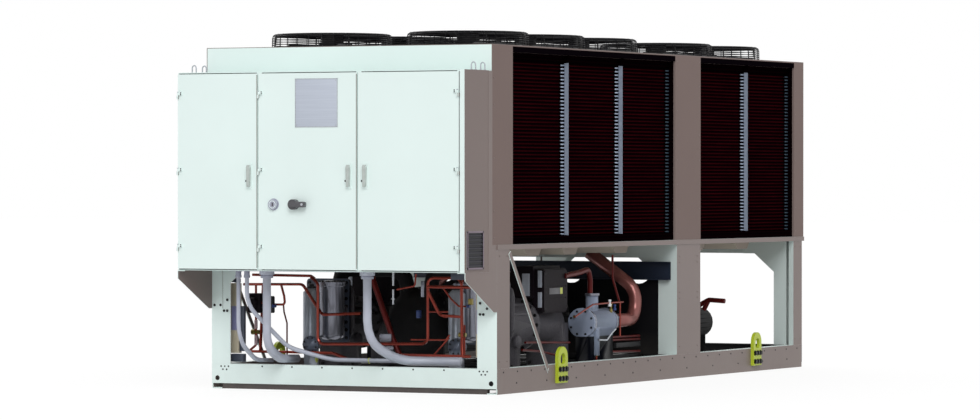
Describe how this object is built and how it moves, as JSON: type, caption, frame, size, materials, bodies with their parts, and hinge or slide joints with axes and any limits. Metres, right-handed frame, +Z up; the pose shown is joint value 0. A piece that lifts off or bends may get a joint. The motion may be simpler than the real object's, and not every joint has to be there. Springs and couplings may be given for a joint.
{
  "type": "air-cooled screw chiller",
  "caption": "Air-cooled screw chiller: steel base with open machine bay, side coils, top fans under wire guards and an electrical cabinet with hinged doors on its front end.",
  "frame": {"origin": "centre of the footprint at ground level, under the box that holds the whole machine", "axes": "+Z up, +Y along the length towards the rear, the cabinet faces -Y, +X to the right seen from the cabinet's front"},
  "size_m": [2.3086, 5.927, 2.515],
  "materials": {
    "pale_paint": "powder coat, satin",
    "taupe_paint": "powder coat, satin",
    "black_steel": "satin black",
    "navy_steel": "satin",
    "lime_paint": "satin",
    "coil_fins": "coated fins and tubes",
    "fan_black": "matte",
    "cast_iron": "painted casting",
    "steel": "satin steel",
    "copper": "drawn copper",
    "conduit_grey": "flexible conduit",
    "handle_grey": "matte"
  },
  "bodies": {
    "chassis": {"side_beam_right": "taupe_paint", "side_beam_left": "taupe_paint", "mid_rail_right": "taupe_paint", "mid_rail_left": "taupe_paint", "coil_frame_right": "taupe_paint", "coil_frame_left": "taupe_paint", "fan_deck_1": "taupe_paint", "fan_deck_2": "taupe_paint", "fan_deck_3": "taupe_paint", "fan_deck_4": "taupe_paint", "fan_deck_5": "taupe_paint", "front_beam": "pale_paint", "front_portal": "pale_paint", "mid_portal": "pale_paint", "rear_portal": "pale_paint", "front_end_panel": "pale_paint", "rear_end_panel": "pale_paint", "plenum_floor": "pale_paint", "cabinet_body": "pale_paint", "cabinet_bracket_right": "pale_paint", "cabinet_bracket_left": "pale_paint", "base_grid": "black_steel", "mid_partition": "black_steel", "evaporator": "black_steel", "terminal_box_right": "black_steel", "terminal_box_left": "black_steel", "cross_channel": "navy_steel", "lifting_lug_front_right": "lime_paint", "lifting_lug_front_left": "lime_paint", "lifting_lug_rear_right": "lime_paint", "lifting_lug_rear_left": "lime_paint", "coil_bank_front_right": "coil_fins", "coil_bank_front_left": "coil_fins", "coil_bank_rear_right": "coil_fins", "coil_bank_rear_left": "coil_fins", "compressor_right": "cast_iron", "compressor_left": "cast_iron", "oil_separator_right": "steel", "oil_separator_left": "steel", "filter_drier_right": "steel", "filter_drier_left": "steel", "discharge_pipe_right": "copper", "discharge_pipe_left": "copper", "liquid_line_right": "copper", "liquid_line_left": "copper", "conduit_set": "conduit_grey"},
    "fan_rotor_right_1": {"fan_rotor_right_1": "fan_black"},
    "fan_rotor_right_2": {"fan_rotor_right_2": "fan_black"},
    "fan_rotor_right_3": {"fan_rotor_right_3": "fan_black"},
    "fan_rotor_right_4": {"fan_rotor_right_4": "fan_black"},
    "fan_rotor_right_5": {"fan_rotor_right_5": "fan_black"},
    "fan_rotor_left_1": {"fan_rotor_left_1": "fan_black"},
    "fan_rotor_left_2": {"fan_rotor_left_2": "fan_black"},
    "fan_rotor_left_3": {"fan_rotor_left_3": "fan_black"},
    "fan_rotor_left_4": {"fan_rotor_left_4": "fan_black"},
    "fan_rotor_left_5": {"fan_rotor_left_5": "fan_black"},
    "cabinet_door_left": {"cabinet_door_left": "pale_paint"},
    "cabinet_door_middle": {"cabinet_door_middle": "pale_paint"},
    "cabinet_door_right": {"cabinet_door_right": "pale_paint"},
    "isolator_handle": {"isolator_handle": "handle_grey"}
  },
  "joints": [
    {"name": "fan_spin_right_1", "type": "hinge", "parent": "chassis", "child": "fan_rotor_right_1", "pos_m": [0.545, -1.7125, 2.404], "axis": [0, 0, 1], "continuous": true},
    {"name": "fan_spin_left_1", "type": "hinge", "parent": "chassis", "child": "fan_rotor_left_1", "pos_m": [-0.545, -1.7125, 2.404], "axis": [0, 0, 1], "continuous": true},
    {"name": "fan_spin_right_2", "type": "hinge", "parent": "chassis", "child": "fan_rotor_right_2", "pos_m": [0.545, -0.8025, 2.404], "axis": [0, 0, 1], "continuous": true},
    {"name": "fan_spin_left_2", "type": "hinge", "parent": "chassis", "child": "fan_rotor_left_2", "pos_m": [-0.545, -0.8025, 2.404], "axis": [0, 0, 1], "continuous": true},
    {"name": "fan_spin_right_3", "type": "hinge", "parent": "chassis", "child": "fan_rotor_right_3", "pos_m": [0.545, 0.0865, 2.404], "axis": [0, 0, 1], "continuous": true},
    {"name": "fan_spin_left_3", "type": "hinge", "parent": "chassis", "child": "fan_rotor_left_3", "pos_m": [-0.545, 0.0865, 2.404], "axis": [0, 0, 1], "continuous": true},
    {"name": "fan_spin_right_4", "type": "hinge", "parent": "chassis", "child": "fan_rotor_right_4", "pos_m": [0.545, 1.4475, 2.404], "axis": [0, 0, 1], "continuous": true},
    {"name": "fan_spin_left_4", "type": "hinge", "parent": "chassis", "child": "fan_rotor_left_4", "pos_m": [-0.545, 1.4475, 2.404], "axis": [0, 0, 1], "continuous": true},
    {"name": "fan_spin_right_5", "type": "hinge", "parent": "chassis", "child": "fan_rotor_right_5", "pos_m": [0.545, 2.3495, 2.404], "axis": [0, 0, 1], "continuous": true},
    {"name": "fan_spin_left_5", "type": "hinge", "parent": "chassis", "child": "fan_rotor_left_5", "pos_m": [-0.545, 2.3495, 2.404], "axis": [0, 0, 1], "continuous": true},
    {"name": "left_door_hinge", "type": "hinge", "parent": "chassis", "child": "cabinet_door_left", "pos_m": [-1.114, -2.9115, 1.532], "axis": [0, 0, -1], "range_deg": [0, 115]},
    {"name": "middle_door_hinge", "type": "hinge", "parent": "chassis", "child": "cabinet_door_middle", "pos_m": [-0.468, -2.9115, 1.532], "axis": [0, 0, -1], "range_deg": [0, 115]},
    {"name": "right_door_hinge", "type": "hinge", "parent": "chassis", "child": "cabinet_door_right", "pos_m": [1.078, -2.9115, 1.532], "axis": [0, 0, 1], "range_deg": [0, 115]},
    {"name": "isolator_turn", "type": "hinge", "parent": "cabinet_door_middle", "child": "isolator_handle", "pos_m": [-0.184, -2.9015, 1.304], "axis": [0, -1, 0], "range_deg": [0, 90]}
  ]
}
